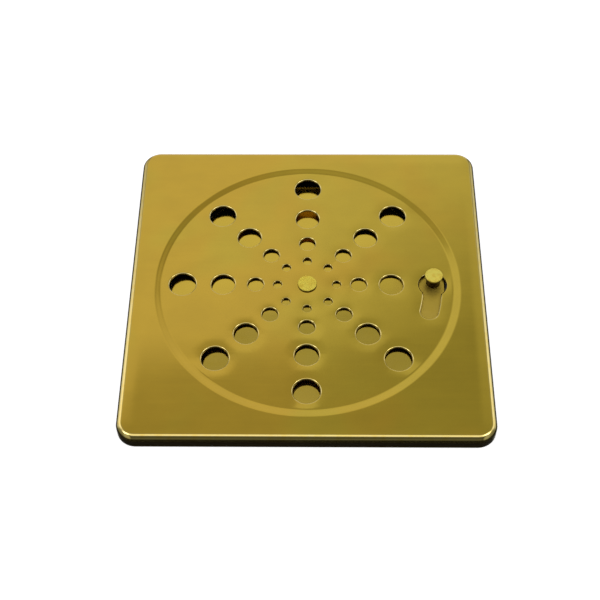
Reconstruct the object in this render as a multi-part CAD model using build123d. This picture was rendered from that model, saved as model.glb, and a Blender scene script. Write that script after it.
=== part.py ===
from build123d import *
from math import atan, cos, degrees, radians, sin
import os

# A square floor drain grate with a rotary shut-off, in millimetres.
# The origin is the middle of the square, on the plane that the skirt stands on, and +Z is up.
# The knob stands on the +X side. The grate is closed at rest, and turning the knob clockwise,
# seen from above, opens it.

# Cover: one pressed sheet
SIDE = 150.0
HEIGHT = 6.5
SHEET = 0.7
CORNER_R = 8.0
EDGE_BEND_R = 2.5
DISH_DEPTH = 0.65
DISH_FLOOR_R = 60.7
DISH_RIM_R = 65.6
HOLE_EDGE_R = 0.4

# Drain holes: 8 spokes crossed by 4 rings. Each ring has its radius, the radius of the cover's
# holes, and the radius of the shutter's holes, which are smaller so that the grate can close.
SPOKES = 8
RINGS = (
    (12.5, 1.85, 1.5),
    (21.85, 3.4, 2.6),
    (35.6, 5.0, 4.8),
    (52.8, 5.6, 4.4),
)

# Keyhole for the knob, on the +X spoke: a round head that is also a drain hole, and an arc slot
KEYHOLE_HEAD_R = 5.75
KEYHOLE_AT = 53.0
SLOT_HALF_WIDTH = 3.7
SLOT_END_DEG = -15.2

# Shutter: a bowed disc under the dish
SHUTTER_R = 58.0
SHUTTER_SHEET = 0.5
SHUTTER_GAP = 0.3
OPENING_DEG = 16.8
BOW_ACROSS = 0.00095
BOW_ALONG = 0.000345
BOW_FADE = 71.0
BOW_PATCH_STEPS = 8

# Pivot
SHANK_R = 2.0
TURNING_CLEARANCE = 0.05
PLAY = 0.03
PIVOT_HEAD_R = 4.05
PIVOT_HEAD_HEIGHT = 0.9
SPACER_R = 5.0
SPACER_EDGE = 0.05
BACKING_R = 4.5
BACKING_SHEET = 0.8

# Knob
KNOB_AT = 53.4
KNOB_DEG = 2.24
KNOB_TOP = 9.85
KNOB_HEAD_R = 3.75
KNOB_HEAD_HEIGHT = 1.0
SLEEVE_R = 2.95
KNOB_WASHER_R = 4.0
KNOB_WASHER_SHEET = 0.5
SEAT_GAP = 0.01
KNOB_DISH_R = 2.9
KNOB_DISH_DEPTH = 0.25
SEAT_SAMPLES = 24

# Rivet ends and washers
TAIL_R = 3.1
TAIL_HEIGHT = 1.0
RIVET_EDGE_R = 0.25
WASHER_EDGE = 0.1

# How far a cutter passes beyond what it cuts
OVERCUT = 2.0

# Derived heights
DISH_TOP = HEIGHT - DISH_DEPTH
DISH_UNDERSIDE = DISH_TOP - SHEET
SHUTTER_TOP = DISH_UNDERSIDE - SHUTTER_GAP
SHUTTER_UNDERSIDE = SHUTTER_TOP - SHUTTER_SHEET


def rounded_block(side, corner_r, edge_r, height):
    """A square block with rounded upright corners and a rounded top edge."""
    block = extrude(RectangleRounded(side, side, corner_r), height)
    top = block.faces().sort_by(Axis.Z)[-1]
    return fillet(top.edges(), edge_r)


def dish_cutter(offset):
    """The round body that presses the dish: its face is the sheet's top face moved in by offset."""
    half_band = (DISH_RIM_R - DISH_FLOOR_R) / 2
    slope = 2 * degrees(atan(DISH_DEPTH / 2 / half_band))
    bend_r = half_band / sin(radians(slope))
    floor = DISH_TOP - offset
    rim = HEIGHT - offset
    clear = HEIGHT + OVERCUT
    lower = CenterArc((DISH_FLOOR_R, floor + bend_r + offset), bend_r + offset, -90, slope)
    upper = CenterArc((DISH_RIM_R, rim - bend_r + offset), bend_r - offset, 90 + slope, -slope)
    outline = Curve() + [
        Line((0, clear), (0, floor)),
        Line((0, floor), (DISH_FLOOR_R, floor)),
        lower,
        upper,
        Line((DISH_RIM_R, rim), (DISH_RIM_R, clear)),
        Line((DISH_RIM_R, clear), (0, clear)),
    ]
    return revolve(Plane.XZ * make_face(outline), Axis.Z)


def spoke_points(ring_r, first_deg):
    return [
        Vector(ring_r * cos(radians(a)), ring_r * sin(radians(a)))
        for a in (first_deg + 360 / SPOKES * i for i in range(SPOKES))
    ]


def through(sketch):
    """A sketch made into a cutter that passes through every sheet."""
    return Pos(0, 0, -OVERCUT) * extrude(sketch, HEIGHT + 2 * OVERCUT)


def keyhole():
    head = Pos(KEYHOLE_AT, 0) * Circle(KEYHOLE_HEAD_R)
    middle = CenterArc((0, 0), RINGS[-1][0], SLOT_END_DEG, -SLOT_END_DEG)
    return head + SlotArc(middle, 2 * SLOT_HALF_WIDTH)


def cover_plate():
    outside = rounded_block(SIDE, CORNER_R, EDGE_BEND_R, HEIGHT) - dish_cutter(0)
    inside = rounded_block(SIDE - 2 * SHEET, CORNER_R - SHEET, EDGE_BEND_R - SHEET, HEIGHT - SHEET)
    plate = outside - (inside - dish_cutter(SHEET))
    holes = Circle(SHANK_R) + keyhole()
    for ring_r, hole_r, _ in RINGS:
        for point in spoke_points(ring_r, 0):
            on_keyhole = ring_r == RINGS[-1][0] and point.Y == 0 and point.X > 0
            if not on_keyhole:
                holes += Pos(point) * Circle(hole_r)
    plate -= through(holes)
    floor = plate.faces().filter_by(Axis.Z).filter_by_position(Axis.Z, DISH_TOP, DISH_TOP)[0]
    punched = [e for wire in floor.inner_wires() for e in wire.edges()]
    pivot_hole = [e for e in punched if e.is_closed and abs(e.radius - SHANK_R) < 0.01]
    return fillet([e for e in punched if e not in pivot_hole], HOLE_EDGE_R)


def shutter_height(x, y):
    """Height of the shutter's top face: nearly level towards the knob, falling away elsewhere."""
    return SHUTTER_TOP - BOW_ACROSS * y**2 - BOW_ALONG * x**2 * (1 - x / BOW_FADE)


def shutter_disc():
    reach = SHUTTER_R + OVERCUT
    steps = [reach * (2 * i / BOW_PATCH_STEPS - 1) for i in range(BOW_PATCH_STEPS + 1)]
    patch = Face.make_surface_from_array_of_points(
        [[Vector(x, y, shutter_height(x, y)) for x in steps] for y in steps], tol=1e-4, max_deg=4
    )
    bowed = Solid.extrude(patch, Vector(0, 0, -SHUTTER_SHEET))
    outline = Circle(SHUTTER_R) - Circle(SHANK_R + TURNING_CLEARANCE) - knob_place() * Circle(SHANK_R)
    for ring_r, _, hole_r in RINGS:
        for point in spoke_points(ring_r, OPENING_DEG):
            outline -= Pos(point) * Circle(hole_r)
    return Part() + (bowed & through(outline))


def knob_place():
    return Rot(0, 0, KNOB_DEG) * Pos(KNOB_AT, 0)


def ring(outer_r, inner_r, bottom, top, edge=WASHER_EDGE):
    """A washer or sleeve with its outer corners broken."""
    blank = Pos(0, 0, bottom) * extrude(Circle(outer_r) - Circle(inner_r), top - bottom)
    corners = blank.edges().filter_by(GeomType.CIRCLE).sort_by(SortBy.RADIUS)[-2:]
    return chamfer(corners, edge)


def button(radius, bottom, top, soft_face):
    """A flat round end of a rivet, rounded off on the face that looks along soft_face."""
    blank = Pos(0, 0, bottom) * extrude(Circle(radius), top - bottom)
    outer = blank.faces().filter_by(Axis.Z).sort_by(Axis.Z)[soft_face]
    return fillet(outer.edges(), RIVET_EDGE_R)


def rivet(head_r, head_bottom, head_top, tail_top):
    """A solid rivet: a cheese head, a plain shank, and a tail that is upset into a button."""
    head = button(head_r, head_bottom, head_top, soft_face=-1)
    shank = Pos(0, 0, tail_top) * extrude(Circle(SHANK_R), head_bottom - tail_top)
    tail = button(TAIL_R, tail_top - TAIL_HEIGHT, tail_top, soft_face=0)
    return head + shank + tail


def pivot_parts():
    backing_top = SHUTTER_UNDERSIDE - 2 * PLAY
    backing_bottom = backing_top - BACKING_SHEET
    return {
        "pivot_rivet": rivet(PIVOT_HEAD_R, DISH_TOP, DISH_TOP + PIVOT_HEAD_HEIGHT, backing_bottom),
        "pivot_spacer": ring(SPACER_R, SHANK_R, SHUTTER_TOP + PLAY, DISH_UNDERSIDE, SPACER_EDGE),
        "pivot_backing_washer": ring(BACKING_R, SHANK_R, backing_bottom, backing_top),
    }


def shutter_heights_under(radius):
    """The lowest and highest points of the shutter's top face under a round seat at the knob."""
    middle = knob_place().position
    around = [Vector(radius, 0).rotate(Axis.Z, 360 / SEAT_SAMPLES * i) for i in range(SEAT_SAMPLES)]
    heights = [shutter_height(middle.X + p.X, middle.Y + p.Y) for p in around]
    return min(heights), max(heights)


def knob_parts():
    sleeve_bottom = shutter_heights_under(SLEEVE_R)[1] + SEAT_GAP
    washer_top = shutter_heights_under(KNOB_WASHER_R)[0] - SHUTTER_SHEET - SEAT_GAP
    washer_bottom = washer_top - KNOB_WASHER_SHEET
    head_bottom = KNOB_TOP - KNOB_HEAD_HEIGHT
    knob = rivet(KNOB_HEAD_R, head_bottom, KNOB_TOP, washer_bottom)
    dish = Pos(0, 0, KNOB_TOP - KNOB_DISH_DEPTH) * extrude(Circle(KNOB_DISH_R), KNOB_DISH_DEPTH)
    parts = {
        "knob_rivet": knob - dish,
        "knob_sleeve": ring(SLEEVE_R, SHANK_R, sleeve_bottom, head_bottom),
        "knob_backing_washer": ring(KNOB_WASHER_R, SHANK_R, washer_bottom, washer_top),
    }
    return {name: knob_place() * part for name, part in parts.items()}


def main():
    parts = {"cover_plate": cover_plate(), "shutter_disc": shutter_disc()}
    parts.update(pivot_parts())
    parts.update(knob_parts())
    os.makedirs("parts", exist_ok=True)
    for name, part in parts.items():
        export_step(part, f"parts/{name}.step")


main()
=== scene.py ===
import math

import bmesh
import bpy
from mathutils import Matrix, Vector, noise
from mathutils.geometry import delaunay_2d_cdt


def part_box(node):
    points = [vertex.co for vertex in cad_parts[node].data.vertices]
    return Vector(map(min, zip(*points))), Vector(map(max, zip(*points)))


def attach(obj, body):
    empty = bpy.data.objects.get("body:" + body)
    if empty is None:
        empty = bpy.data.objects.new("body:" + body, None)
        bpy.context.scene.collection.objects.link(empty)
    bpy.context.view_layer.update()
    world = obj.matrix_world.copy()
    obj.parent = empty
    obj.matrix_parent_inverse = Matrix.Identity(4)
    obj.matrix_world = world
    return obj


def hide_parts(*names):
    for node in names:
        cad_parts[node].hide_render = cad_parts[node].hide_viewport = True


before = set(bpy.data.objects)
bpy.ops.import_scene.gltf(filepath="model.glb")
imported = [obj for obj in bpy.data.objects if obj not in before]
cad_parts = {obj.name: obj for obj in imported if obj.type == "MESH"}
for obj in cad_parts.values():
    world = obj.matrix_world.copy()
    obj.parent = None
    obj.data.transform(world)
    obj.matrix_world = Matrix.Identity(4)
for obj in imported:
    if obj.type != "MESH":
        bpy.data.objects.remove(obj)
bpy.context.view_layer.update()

# A square floor drain grate with a rotary shut-off. Metres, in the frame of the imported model:
# the skirt stands on z = 0, +Z is up, and the knob is on the +X side.
MM = 0.001

# ---------------------------------------------------------------------------
# Sizes. Outer sizes and heights come from the imported model's parts, the rest is the sheet's own
# drawing.

cover_low, cover_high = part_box("cover_plate")
SIDE = cover_high.x - cover_low.x
HEIGHT = cover_high.z
SHEET = 0.7 * MM
CORNER_R = 8.0 * MM
EDGE_BEND_R = 2.5 * MM
LIP_R = 0.12 * MM
DISH_DEPTH = 0.5 * MM
DISH_FLOOR_R = 61.1 * MM
DISH_RIM_R = 65.4 * MM
DISH_TOP = HEIGHT - DISH_DEPTH
HOLE_EDGE_R = 0.55 * MM
DIMPLE_DROP = 0.06 * MM
DIMPLE_REACH = 2.0 * MM
# How dark the sheet's inner skin is painted, as shade.
INSIDE_PAINTED_SHADE = 0.75
LIFT = 0.08 * MM
LIFT_FROM = 57.0 * MM
LIFT_REACH = 5.0 * MM
SOFT_START = 5.0 * MM
SOFT_DROP = 0.16 * MM

SPOKES = 8
RINGS = (
    (12.5 * MM, 1.85 * MM, 1.5 * MM),
    (21.85 * MM, 3.4 * MM, 2.6 * MM),
    (35.6 * MM, 5.0 * MM, 4.8 * MM),
    (52.8 * MM, 5.6 * MM, 4.4 * MM),
)
KEYHOLE_HEAD_R = 5.75 * MM
KEYHOLE_AT = 53.0 * MM
SLOT_HALF_WIDTH = 3.7 * MM
SLOT_END = math.radians(-15.2)
OPENING = math.radians(16.8)

SHUTTER_R = 58.0 * MM
SHUTTER_SHEET = 0.5 * MM
SHUTTER_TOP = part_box("shutter_disc")[1].z
BOW_ACROSS = 0.95
BOW_ALONG = 0.345
BOW_FADE = 71.0 * MM
SHUTTER_EDGE_R = 0.12 * MM
SHUTTER_STEPS = 240
# How much paler the shutter is painted towards its front, as painted light.
SHUTTER_PAINTED_LIGHT = 0.15
# A rougher patch about the knob, painted brown as the knob's shadow, centred in front of it.
DULL_SHADOW_R = 18.0 * MM
DULL_SHADOW_FADE = 7.0 * MM
DULL_SHADOW_SHIFT = 6.0 * MM

SHANK_R = 2.0 * MM
TURNING_CLEARANCE = 0.05 * MM
TAIL_R = 3.1 * MM
TAIL_HEIGHT = 1.0 * MM
HAND_SET = 0.03
GRID = 2.2 * MM
RIM_STEPS = 6
COLLAR = 0.25 * MM
SLIVER = 1e-10
BEND_STEPS = 14
EDGE_TURNS = (0, math.pi / 4, math.pi / 2)
ROUND_STEPS = 192


# ---------------------------------------------------------------------------
# Mesh tools

class Skin:
    """Vertices and faces of one piece, welded where they meet, and its marked points: pale wear that
    partly stands in for painted light, painted shade, and dullness with a painted shadow.
    """

    def __init__(self):
        self.points = []
        self.faces = []
        self.known = {}
        self.marks = {"wear_and_painted_light": {}, "painted_shade": {}, "dull_and_shadow": {}}

    def mark(self, kind, vertices, amount):
        for vertex in vertices:
            self.marks[kind][vertex] = max(amount, self.marks[kind].get(vertex, 0.0))

    def vertex(self, x, y, z):
        key = (round(x * 1e7), round(y * 1e7), round(z * 1e7))
        if key not in self.known:
            self.known[key] = len(self.points)
            self.points.append(Vector((x, y, z)))
        return self.known[key]

    def loop(self, outline, z):
        """Vertices of a plan outline at height z, which is a number or a function of x and y."""
        return [self.vertex(x, y, z(x, y) if callable(z) else z) for x, y in outline]

    def strip(self, lower, upper):
        """Quads between two closed loops of the same length."""
        n = len(lower)
        for i in range(n):
            j = (i + 1) % n
            face = (lower[i], lower[j], upper[j], upper[i])
            self.faces.append(tuple(dict.fromkeys(face)))

    def strips(self, loops):
        """Quads between each closed loop and the next."""
        for a, b in zip(loops, loops[1:]):
            self.strip(a, b)

    def sheet(self, outer, holes, z):
        """Fills the plan area inside outer and outside the holes: evenly sized triangles, and a narrow
        collar along each outline that keeps the shading of the flat part level."""
        collars = [grown(outer, -COLLAR)] + [grown(hole, COLLAR) for hole in holes]
        for outline, collar in zip([outer] + holes, collars):
            self.strip(self.loop(outline, z), self.loop(collar, z))
        points = [Vector(p) for collar in collars for p in collar]
        edges = []
        start = 0
        for collar in collars:
            n = len(collar)
            edges += [(start + i, start + (i + 1) % n) for i in range(n)]
            start += n
        within = area_test(collars)
        points += [Vector(p) for p in grid_inside(collars, within)]
        flat, _, triangles, _, _, _ = delaunay_2d_cdt(points, edges, [], 0, 1e-9)
        for triangle in triangles:
            a, b, c = (flat[i] for i in triangle)
            sliver = abs((b - a).cross(c - a)) < SLIVER
            if not sliver and within((a + b + c) / 3):
                corners = [(flat[i].x, flat[i].y) for i in triangle]
                self.faces.append(tuple(self.loop(corners, z)))

    def piece(self, name, material, body, node, slot, sharp_deg=40):
        """Makes the object, smooth except at sharp edges, which rides in place of its CAD node."""
        mesh = bpy.data.meshes.new(name)
        mesh.from_pydata(self.points, [], self.faces)
        mesh.validate()
        for kind, marked in self.marks.items():
            attribute = mesh.attributes.new(kind, "FLOAT", "POINT")
            for vertex, amount in marked.items():
                attribute.data[vertex].value = amount
        made = bpy.data.objects.new(name, mesh)
        bpy.context.scene.collection.objects.link(made)
        turn_outward(mesh)
        mesh.shade_smooth()
        mesh.set_sharp_from_angle(angle=math.radians(sharp_deg))
        mesh.materials.append(material)
        weighted = made.modifiers.new("weighted_normals", "WEIGHTED_NORMAL")
        weighted.keep_sharp = True
        weighted.weight = 50
        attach(made, body)
        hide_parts(node)
        return made


def turn_outward(mesh):
    work = bmesh.new()
    work.from_mesh(mesh)
    bmesh.ops.recalc_face_normals(work, faces=work.faces)
    work.to_mesh(mesh)
    work.free()


def clamped(value):
    return min(1.0, max(0.0, value))


def bounds_of(outline):
    xs = [p[0] for p in outline]
    ys = [p[1] for p in outline]
    return min(xs), min(ys), max(xs), max(ys)


def area_test(outlines):
    """A test of whether a plan point lies inside the first outline and outside all the others."""
    outer, *holes = [(outline, bounds_of(outline)) for outline in outlines]

    def within(point):
        return inside(point, *outer) and not any(inside(point, *hole) for hole in holes)

    return within


def inside(point, outline, bounds):
    """Whether a plan point lies inside a closed outline."""
    x0, y0, x1, y1 = bounds
    x, y = point[0], point[1]
    if not (x0 < x < x1 and y0 < y < y1):
        return False
    crossings = False
    ax, ay = outline[-1]
    for bx, by in outline:
        if (ay > y) != (by > y) and x < (bx - ax) * (y - ay) / (by - ay) + ax:
            crossings = not crossings
        ax, ay = bx, by
    return crossings


def grid_inside(outlines, within):
    """A staggered grid of points in the area, kept a little away from every outline."""
    x0, y0, x1, y1 = bounds_of(outlines[0])
    margin = 0.35 * GRID
    cells = {}
    for outline in outlines:
        for p in outline:
            cells.setdefault((int(p[0] // GRID), int(p[1] // GRID)), []).append(p)
    kept = []
    row_step = GRID * math.sqrt(3) / 2
    for row in range(int((y1 - y0) / row_step) + 1):
        y = y0 + (row + 0.5) * row_step
        for column in range(int((x1 - x0) / GRID) + 1):
            x = x0 + (column + 0.5 * (row % 2)) * GRID
            if not within((x, y)):
                continue
            cx, cy = int(x // GRID), int(y // GRID)
            near = [(cx + i, cy + j) for i in (-1, 0, 1) for j in (-1, 0, 1)]
            close = (p for cell in near for p in cells.get(cell, ()))
            if all(math.hypot(p[0] - x, p[1] - y) > margin for p in close):
                kept.append((x, y))
    return kept


def circle(radius, steps, centre=(0.0, 0.0)):
    return [
        (centre[0] + radius * math.cos(2 * math.pi * i / steps),
         centre[1] + radius * math.sin(2 * math.pi * i / steps))
        for i in range(steps)
    ]


def arc(centre, radius, first, last, steps):
    """Points on an arc, both ends included."""
    angles = [first + (last - first) * i / steps for i in range(steps + 1)]
    return [(centre[0] + radius * math.cos(a), centre[1] + radius * math.sin(a)) for a in angles]


def grown(outline, amount):
    """An anticlockwise outline moved outward by amount."""
    n = len(outline)
    moved = []
    for i in range(n):
        before, here, after = outline[i - 1], outline[i], outline[(i + 1) % n]
        a = Vector((here[1] - before[1], before[0] - here[0])).normalized()
        b = Vector((after[1] - here[1], here[0] - after[0])).normalized()
        bisector = (a + b).normalized()
        moved.append(tuple(Vector(here) + bisector * (amount / max(0.5, bisector.dot(a)))))
    return moved


def rounded_square(inset, side_steps=44, corner_steps=20):
    """The grate's plan outline moved inward by inset, always with the same number of points."""
    half = SIDE / 2 - inset
    radius = CORNER_R - inset
    reach = half - radius
    corner = arc((reach, reach), radius, 0, math.pi / 2, corner_steps)
    side = [(reach - 2 * reach * i / side_steps, half) for i in range(1, side_steps)]
    quarter = corner + side
    outline = []
    for _ in range(4):
        outline += quarter
        quarter = [(-y, x) for x, y in quarter]
    return outline


def punch(skin, outline, top, bottom, edge_r):
    """A punched hole's wall, its top edge rounded over. Returns the outline that the top face meets."""
    rim = grown(outline, edge_r)
    above = skin.loop(rim, top)
    for i in range(1, RIM_STEPS + 1):
        angle = math.pi / 2 * i / RIM_STEPS
        ring = grown(outline, edge_r * (1 - math.sin(angle)))
        drop = edge_r * (1 - math.cos(angle))
        below = skin.loop(ring, lambda x, y: top(x, y) - drop)
        skin.strip(below, above)
        # Pale wear on the rounded rim, which partly stands in for its paler highlight.
        skin.mark("wear_and_painted_light", below, min(1.0, 2.5 * math.sin(angle)))
        # Painted shade: the lower half of the rim darkens towards the wall.
        skin.mark("painted_shade", below, max(0.0, math.degrees(angle) - 45) / 45)
        above = below
    foot = skin.loop(outline, lambda x, y: bottom(x, y) + 0.06 * SHEET)
    skin.strip(foot, above)
    # The wall's foot is painted fully dark as shade.
    skin.mark("painted_shade", foot, 1.0)
    skin.strip(skin.loop(outline, bottom), foot)
    return rim


def rim_radius(hole):
    """The cover's small holes have less rounded rims than its large ones."""
    x0, _, x1, _ = bounds_of(hole)
    return min(HOLE_EDGE_R, 0.065 * (x1 - x0))


def spoke_places(ring_r, first):
    turns = (first + 2 * math.pi * i / SPOKES for i in range(SPOKES))
    return [(ring_r * math.cos(a), ring_r * math.sin(a)) for a in turns]


# ---------------------------------------------------------------------------
# Cover

def keyhole():
    """Round head on the +X spoke, running into an arc slot that ends clockwise of it."""
    ring_r = RINGS[-1][0]
    inner, outer = ring_r - SLOT_HALF_WIDTH, ring_r + SLOT_HALF_WIDTH

    def meeting(radius):
        """Angle about the pivot where the slot's wall meets the head."""
        cosine = (radius**2 + KEYHOLE_AT**2 - KEYHOLE_HEAD_R**2) / (2 * radius * KEYHOLE_AT)
        return -math.acos(cosine)

    def about_head(radius):
        at = meeting(radius)
        return math.atan2(radius * math.sin(at), radius * math.cos(at) - KEYHOLE_AT)

    end = (ring_r * math.cos(SLOT_END), ring_r * math.sin(SLOT_END))
    start, finish = about_head(outer), about_head(inner) + 2 * math.pi
    return (
        arc((KEYHOLE_AT, 0), KEYHOLE_HEAD_R, start, finish, 44)
        + arc((0, 0), inner, meeting(inner), SLOT_END, 10)[1:]
        + arc(end, SLOT_HALF_WIDTH, SLOT_END + math.pi, SLOT_END + 2 * math.pi, 24)[1:]
        + arc((0, 0), outer, SLOT_END, meeting(outer), 10)[1:-1]
    )


def dish_profile(offset, steps=26):
    """Radius and height of the sheet's face across the dish's sloping band, moved in by offset."""
    width = DISH_RIM_R - DISH_FLOOR_R
    profile = []
    for i in range(steps + 1):
        u = i / steps
        rise = u * u * u * (10 - 15 * u + 6 * u * u)
        slope = math.atan(30 * (u * (1 - u)) ** 2 * DISH_DEPTH / width)
        radius = DISH_FLOOR_R + width * u + offset * math.sin(slope)
        profile.append((radius, DISH_TOP + DISH_DEPTH * rise - offset * math.cos(slope)))
    return profile


def edge_profile(offset):
    """Inset and height of the sheet's face round the bent edge, from the top down the skirt."""
    bend_r = EDGE_BEND_R - offset
    turns = [math.pi / 2 * i / BEND_STEPS for i in range(BEND_STEPS + 1)]
    centre = HEIGHT - EDGE_BEND_R
    bend = [(EDGE_BEND_R - bend_r * math.sin(a), centre + bend_r * math.cos(a)) for a in turns]
    down = HEIGHT - EDGE_BEND_R - LIP_R
    skirt = [(offset, LIP_R + down * (1 - i / 3)) for i in (1, 2, 3)]
    return bend + skirt


def hole_steps(radius):
    """A larger hole is drawn with more points."""
    return 32 + 8 * int(radius / MM)


def dish_top(x, y):
    return DISH_TOP


def dish_underside(x, y):
    return DISH_TOP - SHEET


def cover_piece(material):
    skin = Skin()
    holes = [circle(SHANK_R, 32), keyhole()]
    for ring_r, hole_r, _ in RINGS:
        steps = hole_steps(hole_r)
        for place in spoke_places(ring_r, 0):
            on_keyhole = ring_r == RINGS[-1][0] and place[0] > ring_r - MM
            if not on_keyhole:
                holes.append(circle(hole_r, steps, place))
    rims = [punch(skin, hole, dish_top, dish_underside, rim_radius(hole)) for hole in holes]
    floor = circle(DISH_FLOOR_R, ROUND_STEPS)
    skin.sheet(floor, rims, DISH_TOP)
    skin.sheet(floor, holes, DISH_TOP - SHEET)
    # The sheet's underside inside the cap is painted dark as shade.
    beneath = [i for i, p in enumerate(skin.points) if p.z < DISH_TOP - 0.99 * SHEET]
    skin.mark("painted_shade", beneath, INSIDE_PAINTED_SHADE)
    for offset in (0.0, SHEET):
        first = len(skin.points)
        skin.strips([skin.loop(circle(r, ROUND_STEPS), z) for r, z in dish_profile(offset)])
        skin.sheet(rounded_square(EDGE_BEND_R), [circle(DISH_RIM_R, ROUND_STEPS)], HEIGHT - offset)
        loops = [skin.loop(rounded_square(inset), z) for inset, z in edge_profile(offset)]
        skin.strips(loops)
        if offset == 0:
            mark_edge(skin, loops)
        else:
            # The inner skin of the band, plate, bend and skirt is painted dark as shade.
            skin.mark("painted_shade", range(first, len(skin.points)), INSIDE_PAINTED_SHADE)
    outward = [(LIP_R * (1 - math.cos(a)), LIP_R * (1 - math.sin(a))) for a in EDGE_TURNS]
    inward = [(SHEET - inset, z) for inset, z in reversed(outward)]
    skin.strips([skin.loop(rounded_square(inset), z) for inset, z in outward + inward])
    for p in skin.points:
        p.z += (unevenness(p.x, p.y) + spoke_lift(p.x, p.y) - edge_sag(p.x, p.y)) * (p.z / HEIGHT)
        if math.hypot(p.x, p.y) < DISH_FLOOR_R:
            p.z -= dimple(p.x, p.y, holes)
    return skin.piece("cover", material, "cover", "cover_plate", "cover_sheet")


def mark_edge(skin, loops):
    """Pale wear along the top of the bend, which partly stands in for a paler highlight, less at the
    rear, and painted shade from the middle of the bend down and a little on the rear bend.
    """
    for i, loop in enumerate(loops):
        turn = min(1.0, i / BEND_STEPS)
        # Pale wear on the bend, partly a painted paler highlight, kept mostly off the rear.
        wear_and_highlight = math.sin(math.pi * turn) ** 0.7
        for vertex in loop:
            rear = clamped((skin.points[vertex].y - SIDE / 2 + CORNER_R) / (5 * MM))
            skin.mark("wear_and_painted_light", [vertex], wear_and_highlight * (1 - 0.8 * rear))
            # Painted shade from the middle of the bend down the skirt, standing in for its dark
            # reflection.
            skin.mark("painted_shade", [vertex], max(0.0, turn - 0.5) / 0.5 * 0.75 if turn < 1 else 1.0)
            # A little painted shade on the rear bend.
            skin.mark("painted_shade", [vertex], 0.35 * rear * math.sin(math.pi / 2 * turn))


def unevenness(x, y):
    """How far a thin pressed sheet lies off true, in metres, fading out towards the pivot."""
    fade = min(1.0, math.hypot(x, y) / (30 * MM))
    return 0.03 * MM * fade * noise.noise(Vector((x * 14, y * 14, 3.7)))


def spoke_lift(x, y):
    """The sheet starts to rise between each outer hole and the dish's band, where it was drawn."""
    radius = math.hypot(x, y)
    spoke = 2 * math.pi / SPOKES
    turn = math.atan2(y, x) / spoke
    aside = radius * spoke * abs(turn - round(turn)) / LIFT_REACH
    rise = clamped((radius - LIFT_FROM) / (DISH_FLOOR_R - LIFT_FROM))
    fall = clamped((radius - DISH_FLOOR_R) / (DISH_RIM_R - DISH_FLOOR_R))
    return LIFT * rise * (1 - fall * fall * (3 - 2 * fall)) * math.exp(-aside * aside)


def dimple(x, y, holes):
    """Punching draws the sheet down a little around each hole."""
    nearest = DIMPLE_REACH * 3
    for hole in holes:
        x0, y0, x1, y1 = bounds_of(hole)
        if x0 - nearest < x < x1 + nearest and y0 - nearest < y < y1 + nearest:
            nearest = min(nearest, min(math.hypot(x - px, y - py) for px, py in hole))
    fade = clamped((DISH_FLOOR_R - math.hypot(x, y)) / MM)
    return DIMPLE_DROP * fade * math.exp(-((nearest / DIMPLE_REACH) ** 2))


def edge_sag(x, y):
    """The sheet starts to fall a little before its bend, as a pressed edge does."""
    straight = SIDE / 2 - CORNER_R
    out = math.hypot(max(0.0, abs(x) - straight), max(0.0, abs(y) - straight))
    across = out - (CORNER_R - EDGE_BEND_R - SOFT_START)
    return SOFT_DROP * clamped(across / SOFT_START) ** 2


# ---------------------------------------------------------------------------
# Shutter

def shutter_height(x, y):
    """The bowed disc's top face: nearly level towards the knob, falling away elsewhere."""
    return SHUTTER_TOP - BOW_ACROSS * y**2 - BOW_ALONG * x**2 * (1 - x / BOW_FADE)


def shutter_underside(x, y):
    return shutter_height(x, y) - SHUTTER_SHEET


def shutter_piece(material, knob_place):
    skin = Skin()
    holes = [circle(SHANK_R + TURNING_CLEARANCE, 32), circle(SHANK_R, 32, knob_place)]
    for ring_r, _, hole_r in RINGS:
        holes += [circle(hole_r, hole_steps(hole_r), place) for place in spoke_places(ring_r, OPENING)]
    rims = [punch(skin, hole, shutter_height, shutter_underside, SHUTTER_EDGE_R) for hole in holes]
    loops = []
    for a in EDGE_TURNS:
        outline = circle(SHUTTER_R - SHUTTER_EDGE_R * (1 - math.sin(a)), SHUTTER_STEPS)
        drop = SHUTTER_EDGE_R * (1 - math.cos(a))
        loops.append(skin.loop(outline, lambda x, y: shutter_height(x, y) - drop))
    loops.append(skin.loop(outline, shutter_underside))
    skin.strips(loops)
    # The disc's rounded rim and edge are painted dark as shade under the cover.
    for loop in loops[1:]:
        skin.mark("painted_shade", loop, 1.0)
    skin.sheet(circle(SHUTTER_R - SHUTTER_EDGE_R, SHUTTER_STEPS), rims, shutter_height)
    for i, p in enumerate(skin.points):
        if p.z > shutter_height(p.x, p.y) - 0.1 * SHUTTER_SHEET:
            # A rougher patch in front of the knob, painted brown as its shadow on the disc.
            away = math.hypot(p.x - knob_place[0], p.y - knob_place[1] + DULL_SHADOW_SHIFT)
            skin.mark("dull_and_shadow", [i], clamped((DULL_SHADOW_R - away) / DULL_SHADOW_FADE))
            # Painted light: the disc's top is coloured paler towards the front.
            skin.mark("wear_and_painted_light", [i], SHUTTER_PAINTED_LIGHT * clamped(-p.y / (20 * MM)))
    skin.sheet(outline, holes, shutter_underside)
    return skin.piece("shutter", material, "shutter", "shutter_disc", "shutter_sheet")


# ---------------------------------------------------------------------------
# Turned and riveted pieces

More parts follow.
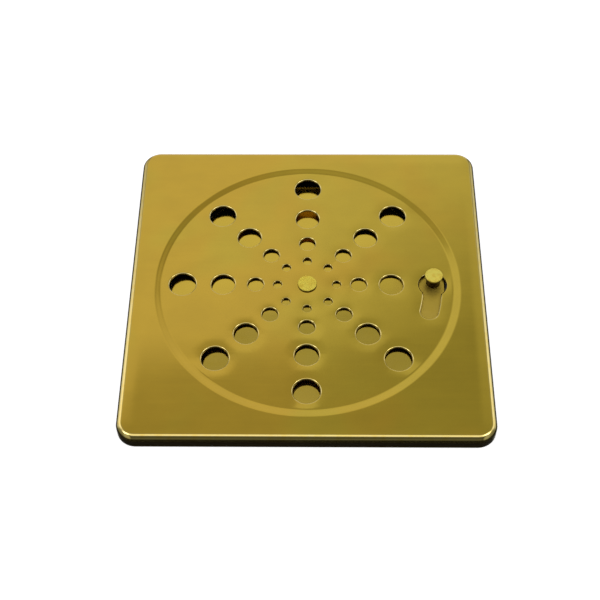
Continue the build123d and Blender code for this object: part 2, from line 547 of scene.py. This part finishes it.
def lathe(profile, place, steps=96, uneven=None):
    """A closed solid of revolution. The profile is (radius, height) points from one end to the other."""
    skin = Skin()

    def ring(radius, z):
        points = []
        for x, y in circle(1.0, steps):
            r, dz = uneven(x, y, radius, z) if uneven else (radius, 0.0)
            points.append(skin.vertex(place[0] + r * x, place[1] + r * y, z + dz))
        return points

    rings = [ring(radius, z) for radius, z in profile]
    heights = [z for _, z in profile]
    top = max(heights)
    # Painted shade: a piece's sides, shank and tail darken the further they lie below its top.
    for made, z in zip(rings, heights[:heights.index(top)]):
        skin.mark("painted_shade", made, min(1.0, (top - z) / (0.35 * MM)))
    for a, b in zip(rings, rings[1:]):
        if len(set(a)) == 1:
            skin.faces += [(a[0], b[i], b[(i + 1) % steps]) for i in range(steps)]
        elif len(set(b)) == 1:
            skin.faces += [(b[0], a[(i + 1) % steps], a[i]) for i in range(steps)]
        else:
            skin.strip(a, b)
    return skin


def tube(outer_r, inner_r, bottom, top, edge_r):
    """Profile of a washer or sleeve, which starts and ends at the foot of its bore."""
    low = arc((outer_r - edge_r, bottom + edge_r), edge_r, -math.pi / 2, 0, 4)
    high = arc((outer_r - edge_r, top - edge_r), edge_r, 0, math.pi / 2, 4)
    return [(inner_r, bottom)] + low + high + [(inner_r, top), (inner_r, bottom)]


def rivet_profile(node, head_r, head_height, crown):
    """Tail button, shank and head. crown lists the head's top face from the rim to the middle."""
    low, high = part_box(node)
    tail_top = low.z + TAIL_HEIGHT
    head_bottom = high.z - head_height
    bulge = arc((TAIL_R - 0.45 * TAIL_HEIGHT, low.z + TAIL_HEIGHT / 2), 0.5 * TAIL_HEIGHT,
                -math.pi / 2, math.pi / 2, 10)
    under_r = 0.12 * MM
    under = arc((head_r - under_r, head_bottom + under_r), under_r, -math.pi / 2, 0, 3)
    return (
        [(0, low.z), (TAIL_R * 0.5, low.z)] + bulge + [(SHANK_R, tail_top), (SHANK_R, head_bottom)]
        + under + [(r, high.z + z) for r, z in crown]
    )


def hand_set(seed):
    """A head struck by hand: its outline is a little out of round and its face a little tilted."""
    def uneven(x, y, radius, z):
        wobble = noise.noise(Vector((x * 1.3 + seed, y * 1.3, seed)))
        tilt = noise.noise(Vector((x * radius * 330 + seed, y * radius * 330, seed)))
        return radius * (1 + HAND_SET * wobble), HAND_SET * 2.0 * MM * tilt * min(1.0, radius / MM)
    return uneven


def pivot_rivet_piece(material):
    head_r = 4.05 * MM
    edge_r = 0.32 * MM
    edge = arc((head_r - edge_r, -edge_r), edge_r, 0, math.pi / 2, 8)
    crown = edge + [(head_r * k, 0.0) for k in (0.85, 0.7, 0.55, 0.4, 0.25, 0.12, 0)]
    profile = rivet_profile("pivot_rivet", head_r, 0.9 * MM, crown)
    made = lathe(profile, (0, 0), uneven=hand_set(2.3))
    return made.piece("centre_rivet", material, "cover", "pivot_rivet", "rivet_brass")


def knob_rivet_piece(material, place):
    head_r = 3.75 * MM
    edge_r = 0.28 * MM
    edge = arc((head_r - edge_r, -edge_r), edge_r, 0, math.pi / 2, 8)
    dip = 0.32 * MM
    bowl_r = head_r - 0.6 * MM
    bowl = [(bowl_r * k, -dip * (1 - k * k)) for k in (1, 0.9, 0.8, 0.7, 0.6, 0.5, 0.4, 0.25, 0.12, 0)]
    crown = edge + [(head_r - 0.42 * MM, 0.0)] + bowl
    profile = rivet_profile("knob_rivet", head_r, 1.0 * MM, crown)
    made = lathe(profile, place, uneven=hand_set(5.1))
    return made.piece("knob_head", material, "shutter", "knob_rivet", "rivet_brass")


def ring_piece(name, node, body, material, slot, edge_r, place=(0, 0)):
    low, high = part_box(node)
    made = lathe(tube((high.x - low.x) / 2, SHANK_R, low.z, high.z, edge_r), place)
    return made.piece(name, material, body, node, slot)


# ---------------------------------------------------------------------------
# Materials

def node(tree, kind, inputs=None, **settings):
    """Adds a shader node. Inputs are values, or outputs of other nodes to link."""
    made = tree.nodes.new(kind)
    for name, value in settings.items():
        setattr(made, name, value)
    for name, value in (inputs or {}).items():
        if isinstance(value, bpy.types.NodeSocket):
            tree.links.new(value, made.inputs[name])
        else:
            made.inputs[name].default_value = value
    return made


def math_node(tree, operation, *values, clamp=False):
    made = node(tree, "ShaderNodeMath", dict(enumerate(values)), operation=operation, use_clamp=clamp)
    return made.outputs[0]


def product(tree, first, *others):
    for other in others:
        first = math_node(tree, "MULTIPLY", first, other)
    return first


def total(tree, first, *others):
    for other in others:
        first = math_node(tree, "ADD", first, other)
    return first


def span(tree, value, low, high, to_low=0.0, to_high=1.0):
    """Maps a value smoothly from one range to another."""
    made = node(tree, "ShaderNodeMapRange", {0: value, 1: low, 2: high, 3: to_low, 4: to_high},
                interpolation_type="SMOOTHSTEP")
    return made.outputs[0]


def mix_colour(tree, factor, first, second, blend="MIX"):
    made = tree.nodes.new("ShaderNodeMix")
    made.data_type = "RGBA"
    made.blend_type = blend
    for socket, value in ((made.inputs[0], factor), (made.inputs[6], first), (made.inputs[7], second)):
        if isinstance(value, bpy.types.NodeSocket):
            tree.links.new(value, socket)
        else:
            socket.default_value = value
    return made.outputs[2]


def stretched_noise(tree, place, stretch, scale, detail=2.0):
    mapped = node(tree, "ShaderNodeMapping", {"Vector": place, "Scale": stretch})
    settings = {"Vector": mapped.outputs[0], "Scale": scale, "Detail": detail}
    return node(tree, "ShaderNodeTexNoise", settings).outputs["Fac"]


def brass(name, warm, green, roughness, streak=1.0, coat=0.8, mottle=0.0, metallic=1.0, specular=0.5):
    """Golden sheet: drifting tint, faint brush lines along X, fine scratches, smudges and water spots.
    Marked points are worn pale, partly as painted light (paler highlights, a lighter shutter front),
    painted dark as shade, or made dull and painted brown as shadow."""
    material = bpy.data.materials.new(name)
    material.use_nodes = True
    tree = material.node_tree
    tree.nodes.clear()
    place = node(tree, "ShaderNodeTexCoord").outputs["Object"]
    x = node(tree, "ShaderNodeSeparateXYZ", {0: place}).outputs[0]
    wear_and_painted_light = node(tree, "ShaderNodeAttribute", attribute_name="wear_and_painted_light").outputs["Fac"]
    painted_shade = node(tree, "ShaderNodeAttribute", attribute_name="painted_shade").outputs["Fac"]
    dull_and_shadow = node(tree, "ShaderNodeAttribute", attribute_name="dull_and_shadow").outputs["Fac"]

    drift = total(tree, stretched_noise(tree, place, (1, 1, 1), 26.0), product(tree, x, 2.0))
    colour = mix_colour(tree, span(tree, drift, 0.38, 0.62), warm, green)
    fine = stretched_noise(tree, place, (6, 520, 520), 7.0, 3.0)
    broad = stretched_noise(tree, place, (2.5, 70, 70), 8.0, 2.0)
    lines = total(tree, product(tree, fine, 0.6), product(tree, broad, 0.4))
    patches = stretched_noise(tree, place, (1, 1.6, 1), 60.0, 3.0)
    shade = product(
        tree,
        span(tree, lines, 0.3, 0.7, 1.0 - 0.012 * streak, 1.0 + 0.012 * streak),
        span(tree, patches, 0.3, 0.7, 0.97, 1.03),
    )
    colour = mix_colour(tree, 1.0, colour, shade, "MULTIPLY")
    if mottle:
        flecks = stretched_noise(tree, place, (1, 1, 1), 420.0)
        tarnish = span(tree, flecks, 0.42, 0.62, 0.0, mottle)
        colour = mix_colour(tree, tarnish, colour, (0.86, 0.58, 0.05, 1))
    ragged = stretched_noise(tree, place, (1, 1, 1), 380.0, 3.0)
    # Pale wear, partly painted light: paler highlights on bends and rims, a lighter shutter front.
    pale_wear_and_light = product(tree, wear_and_painted_light, span(tree, ragged, 0.25, 0.6, 0.55, 1.0))
    colour = mix_colour(tree, pale_wear_and_light, colour, (0.94, 0.78, 0.30, 1))
    # Painted shade: marked points are mixed towards near black.
    colour = mix_colour(tree, product(tree, painted_shade, 0.93), colour, (0.035, 0.018, 0.004, 1))

    smudges = stretched_noise(tree, place, (1, 1, 1), 45.0, 4.0)
    cells = node(tree, "ShaderNodeTexVoronoi", {"Vector": place, "Scale": 130.0}, feature="F1")
    rough = total(
        tree,
        span(tree, lines, 0.3, 0.7, roughness * 0.85, roughness * 1.15),
        span(tree, smudges, 0.55, 0.75, 0.0, 0.035),
        span(tree, cells.outputs["Distance"], 0.16, 0.1, 0.0, 0.02),
        product(tree, painted_shade, 0.2),
        product(tree, dull_and_shadow, 0.3),
    )
    # Painted shadow: dull points are mixed towards brown.
    colour = mix_colour(tree, product(tree, dull_and_shadow, 0.36), colour, (0.25, 0.15, 0.03, 1))
    scratches = stretched_noise(tree, place, (30, 900, 900), 5.0, 2.0)
    relief = total(tree, lines, span(tree, scratches, 0.68, 0.74, 0.0, 0.4))
    depths = {"Strength": 0.04 * streak, "Distance": 0.02 * MM, "Height": relief}
    bump = node(tree, "ShaderNodeBump", depths)
    shader = node(tree, "ShaderNodeBsdfPrincipled", {
        "Base Color": colour, "Metallic": metallic, "Roughness": rough, "Normal": bump.outputs[0],
        "Coat Weight": coat, "Coat Roughness": 0.08, "Coat IOR": 1.5, "Specular IOR Level": specular,
    })
    node(tree, "ShaderNodeOutputMaterial", {"Surface": shader.outputs[0]})
    material.diffuse_color = warm
    return material


# ---------------------------------------------------------------------------
# Stage: pale floor, soft studio sky, camera

def light_ramp(tree, rise, stops):
    """Brightness against the angle above the rear horizon, over the top, to the front horizon."""
    ramp = node(tree, "ShaderNodeValToRGB", {0: math_node(tree, "DIVIDE", rise, math.pi)})
    elements = ramp.color_ramp.elements
    elements.remove(elements[-1])
    for i, (angle, level) in enumerate(stops):
        element = elements[0] if i == 0 else elements.new(angle / 180)
        element.position = angle / 180
        element.color = (level, level, level, 1)
    return ramp.outputs[0]


def mix_number(tree, factor, first, second):
    made = node(tree, "ShaderNodeMix", {0: factor, 2: first, 3: second}, data_type="FLOAT")
    return made.outputs[0]


def side_light(tree, x, edges, peak, around):
    """A soft strip of light that peaks between the middle two edges, on one side only."""
    start, bright_from, bright_to, end = edges
    rising = span(tree, x, start, bright_from)
    falling = span(tree, x, end, bright_to)
    return total(tree, product(tree, rising, falling, peak - around), product(tree, rising, around))


def studio_world():
    """Soft light from all round: a pale wall behind that darkens upwards and to the right, an overhead
    softbox, a strong light on the left and a weaker one on the right, and a dark room in front."""
    world = bpy.data.worlds.new("studio")
    bpy.context.scene.world = world
    world.use_nodes = True
    tree = world.node_tree
    tree.nodes.clear()
    toward = node(tree, "ShaderNodeTexCoord").outputs["Generated"]
    x, y, z = node(tree, "ShaderNodeSeparateXYZ", {0: toward}).outputs
    rise = math_node(tree, "ABSOLUTE", math_node(tree, "ARCTAN2", z, y))
    slanted = total(tree, rise, product(tree, x, 0.10))
    front = (
        (83, 1.05), (104, 1.05), (110, 0.35), (117, 0.1),
        (146, 0.06), (156, 0.12), (168, 0.12), (180, 0.04),
    )
    rear = ((0, 0.75), (20, 0.7), (29, 0.54))
    left_wall = rear + ((55.8, 0.54), (57.0, 0.34), (60, 0.32), (66, 0.33), (77, 0.38)) + front
    right_wall = rear + ((46, 0.54), (49, 0.50), (54, 0.34), (57, 0.26), (66, 0.28), (77, 0.32)) + front
    far_left = rear + ((55.8, 0.53), (58.0, 0.37), (62, 0.33), (68.5, 0.31), (77, 0.33)) + front
    far_right = rear + ((43, 0.51), (50, 0.47), (54, 0.41), (60, 0.32), (66, 0.28), (77, 0.32)) + front
    wall = light_ramp(tree, slanted, left_wall)
    wall = mix_number(tree, span(tree, x, -0.05, 0.14), wall, light_ramp(tree, slanted, right_wall))
    wall = mix_number(tree, span(tree, x, 0.14, 0.2), wall, light_ramp(tree, slanted, far_right))
    wall = mix_number(tree, span(tree, x, -0.14, -0.2), wall, light_ramp(tree, slanted, far_left))
    ground = ((0, 0.7), (50, 0.55), (80, 0.3), (105, 0.03), (150, 0.006), (180, 0.02))
    below = light_ramp(tree, rise, ground)
    front_to_back = mix_number(tree, span(tree, z, -0.04, 0.04), below, wall)

    nearer = product(tree, span(tree, y, 0.68, 0.52, 0.45, 1.0), span(tree, y, 0.05, 0.3, 0.35, 1.0))
    left_light = side_light(tree, x, (-0.32, -0.50, -0.72, -0.9), 1.05, 0.55)
    right_light = side_light(tree, x, (0.36, 0.60, 0.74, 0.9), 1.0, 0.5)
    above_floor = span(tree, z, -0.2, 0.1, 0.06, 1.0)
    beside = product(tree, total(tree, left_light, right_light), nearer, above_floor)
    aside = math_node(tree, "ADD", span(tree, x, -0.30, -0.42), span(tree, x, 0.34, 0.5), clamp=True)
    light = mix_number(tree, aside, front_to_back, beside)
    out = math_node(tree, "ABSOLUTE", total(tree, x, 0.02))
    over = product(
        tree,
        span(tree, slanted, math.radians(78), math.radians(86)),
        span(tree, slanted, math.radians(106), math.radians(98)),
        span(tree, out, 0.30, 0.36),
        span(tree, out, 0.66, 0.60),
        span(tree, z, 0.0, 0.1),
    )
    light = mix_number(tree, over, light, 2.9)
    blue = product(tree, light, span(tree, light, 0.2, 0.6, 0.78, 1.08))
    tone = node(tree, "ShaderNodeCombineXYZ", {0: light, 1: light, 2: blue}).outputs[0]
    lit = node(tree, "ShaderNodeBackground", {"Color": tone, "Strength": 1.0})
    backdrop = node(tree, "ShaderNodeBackground", {"Color": (1, 1, 1, 1), "Strength": 1.0})
    seen = node(tree, "ShaderNodeLightPath").outputs["Is Camera Ray"]
    both = node(tree, "ShaderNodeMixShader", {0: seen, 1: lit.outputs[0], 2: backdrop.outputs[0]})
    node(tree, "ShaderNodeOutputWorld", {"Surface": both.outputs[0]})


def floor_stage():
    """A large pale floor, painted dark as shadow under the grate. The polished metal does not mirror it.
    """
    reach = 4.0
    mesh = bpy.data.meshes.new("floor")
    corners = [(-reach, -reach, 0), (reach, -reach, 0), (reach, reach, 0), (-reach, reach, 0)]
    mesh.from_pydata(corners, [], [(0, 1, 2, 3)])
    floor = bpy.data.objects.new("floor", mesh)
    bpy.context.scene.collection.objects.link(floor)
    material = bpy.data.materials.new("pale_floor")
    material.use_nodes = True
    tree = material.node_tree
    tree.nodes.clear()
    place = node(tree, "ShaderNodeTexCoord").outputs["Object"]
    x, y, _ = node(tree, "ShaderNodeSeparateXYZ", {0: place}).outputs
    across, along = (math_node(tree, "ABSOLUTE", way) for way in (x, y))
    from_middle = math_node(tree, "MAXIMUM", across, along)
    open_floor = span(tree, from_middle, SIDE / 2 - 3.6 * MM, SIDE / 2 - 3 * MM)
    # Painted shadow: the floor under the grate is coloured near black, and only the open floor glows.
    tone = mix_colour(tree, open_floor, (0.02, 0.02, 0.02, 1), (0.8, 0.8, 0.8, 1))
    paper = node(tree, "ShaderNodeBsdfDiffuse", {"Color": tone})
    glow = node(tree, "ShaderNodeEmission", {
        "Color": (1, 1, 1, 1), "Strength": product(tree, open_floor, 0.75),
    })
    both = node(tree, "ShaderNodeAddShader", {0: paper.outputs[0], 1: glow.outputs[0]})
    clear = node(tree, "ShaderNodeBsdfTransparent")
    beneath = node(tree, "ShaderNodeNewGeometry").outputs["Backfacing"]
    path = node(tree, "ShaderNodeLightPath")
    first_bounce = math_node(tree, "LESS_THAN", path.outputs["Ray Depth"], 1.5)
    hidden = math_node(tree, "MAXIMUM", open_floor, first_bounce)
    unmirrored = product(tree, path.outputs["Is Glossy Ray"], hidden)
    passed = math_node(tree, "MAXIMUM", beneath, unmirrored)
    seen = node(tree, "ShaderNodeMixShader", {0: passed, 1: both.outputs[0], 2: clear.outputs[0]})
    node(tree, "ShaderNodeOutputMaterial", {"Surface": seen.outputs[0]})
    mesh.materials.append(material)
    floor.visible_diffuse = False


def camera():
    """Looks down at the grate from the front, a hair off square and level."""
    azimuth = math.radians(1.0991)
    elevation = math.radians(54.337)
    roll = math.radians(-0.7423)
    distance = 531.46 * MM
    target = Vector((-3.068 * MM, -3.791 * MM, -0.153 * MM))
    back = Vector((
        math.sin(azimuth) * math.cos(elevation),
        -math.cos(azimuth) * math.cos(elevation),
        math.sin(elevation),
    ))
    lens = bpy.data.cameras.new("camera")
    lens.sensor_width = 36.0
    lens.lens = 74.95
    made = bpy.data.objects.new("camera", lens)
    made.location = target + back * distance
    made.rotation_mode = "QUATERNION"
    aim = (-back).to_track_quat("-Z", "Y")
    made.rotation_quaternion = aim @ Matrix.Rotation(roll, 4, "Z").to_quaternion()
    lens.clip_start = 0.01
    lens.clip_end = 20.0
    bpy.context.scene.collection.objects.link(made)
    bpy.context.scene.camera = made


# ---------------------------------------------------------------------------

camera()
studio_world()
floor_stage()
bpy.context.scene.view_settings.view_transform = "Standard"

knob_low, knob_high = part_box("knob_sleeve")
knob_place = ((knob_low.x + knob_high.x) / 2, (knob_low.y + knob_high.y) / 2)

cover_brass = brass("cover_brass", (0.90, 0.58, 0.043, 1), (0.86, 0.615, 0.048, 1), 0.08)
shutter_brass = brass("shutter_brass", (0.97, 0.68, 0.085, 1), (0.96, 0.70, 0.09, 1), 0.12, coat=0.0)
rivet_brass = brass("rivet_brass", (1.0, 0.80, 0.09, 1), (1.0, 0.84, 0.14, 1), 0.45,
                    streak=0.6, coat=0.0, mottle=0.5, metallic=0.05, specular=0.1)
# The knob's neck is coloured near black: painted shade under the knob head.
sleeve_brass = brass("sleeve_brass", (0.06, 0.035, 0.008, 1), (0.05, 0.032, 0.008, 1), 0.4,
                     streak=0.6, coat=0.0)
washer_brass = brass("washer_brass", (0.80, 0.58, 0.11, 1), (0.76, 0.58, 0.11, 1), 0.25,
                     streak=0.6, coat=0.3)

cover_piece(cover_brass)
shutter_piece(shutter_brass, knob_place)
pivot_rivet_piece(rivet_brass)
knob_rivet_piece(rivet_brass, knob_place)
ring_piece("spacer", "pivot_spacer", "cover", washer_brass, "washer_brass", 0.05 * MM)
ring_piece("backing_washer", "pivot_backing_washer", "cover", washer_brass, "washer_brass", 0.1 * MM)
ring_piece("knob_washer", "knob_backing_washer", "shutter", washer_brass, "washer_brass", 0.1 * MM,
           knob_place)
ring_piece("knob_neck", "knob_sleeve", "shutter", sleeve_brass, "sleeve_brass", 0.1 * MM, knob_place)
